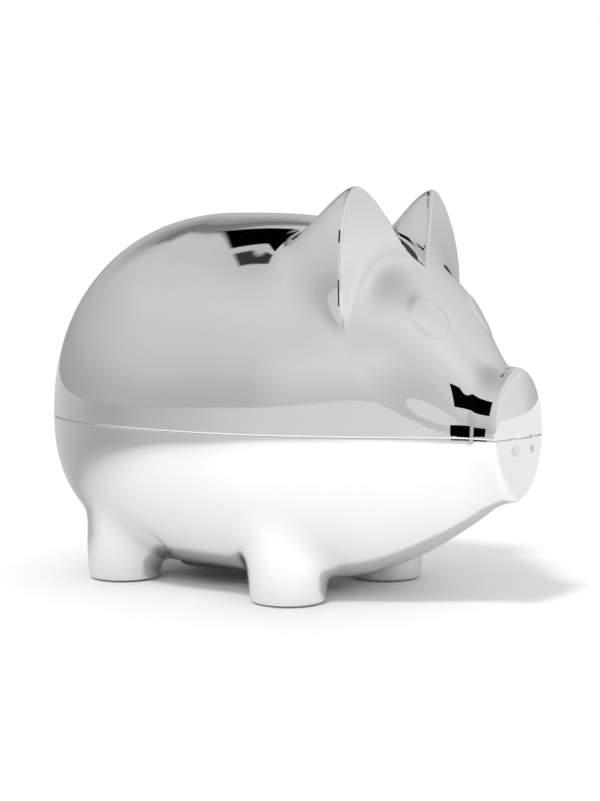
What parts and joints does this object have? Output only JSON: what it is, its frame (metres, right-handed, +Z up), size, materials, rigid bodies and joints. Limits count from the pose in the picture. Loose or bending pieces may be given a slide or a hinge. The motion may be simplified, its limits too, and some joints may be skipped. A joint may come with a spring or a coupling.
{
  "type": "coin bank",
  "caption": "Pig-shaped still bank: mirror-polished cast shells joined on a level seam, with a coin slot in the back and a rubber stopper in the belly.",
  "frame": {"origin": "on the surface that the bank stands on, under the middle of its length and width", "axes": "+X towards the snout, +Y to the pig's left, +Z up"},
  "size_m": [0.1512, 0.088, 0.1079],
  "materials": {
    "polished_casting": "mirror-polished plated casting",
    "zinc_steel": "zinc-plated turned steel",
    "spring_steel": "oiled spring steel",
    "stopper_rubber": "matt moulded rubber",
    "pad_rubber": "fine-grained pad"
  },
  "bodies": {
    "bank": {"upper_shell": "polished_casting", "lower_shell": "polished_casting", "front_screw": "zinc_steel", "rear_screw": "zinc_steel", "front_washer": "spring_steel", "rear_washer": "spring_steel", "front_left_foot_pad": "pad_rubber", "front_right_foot_pad": "pad_rubber", "rear_left_foot_pad": "pad_rubber", "rear_right_foot_pad": "pad_rubber"},
    "stopper": {"coin_stopper": "stopper_rubber"}
  },
  "joints": [
    {"name": "stopper_pull", "type": "slide", "parent": "bank", "child": "stopper", "axis": [0, 0, -1], "range_m": [0, 0.012]}
  ]
}
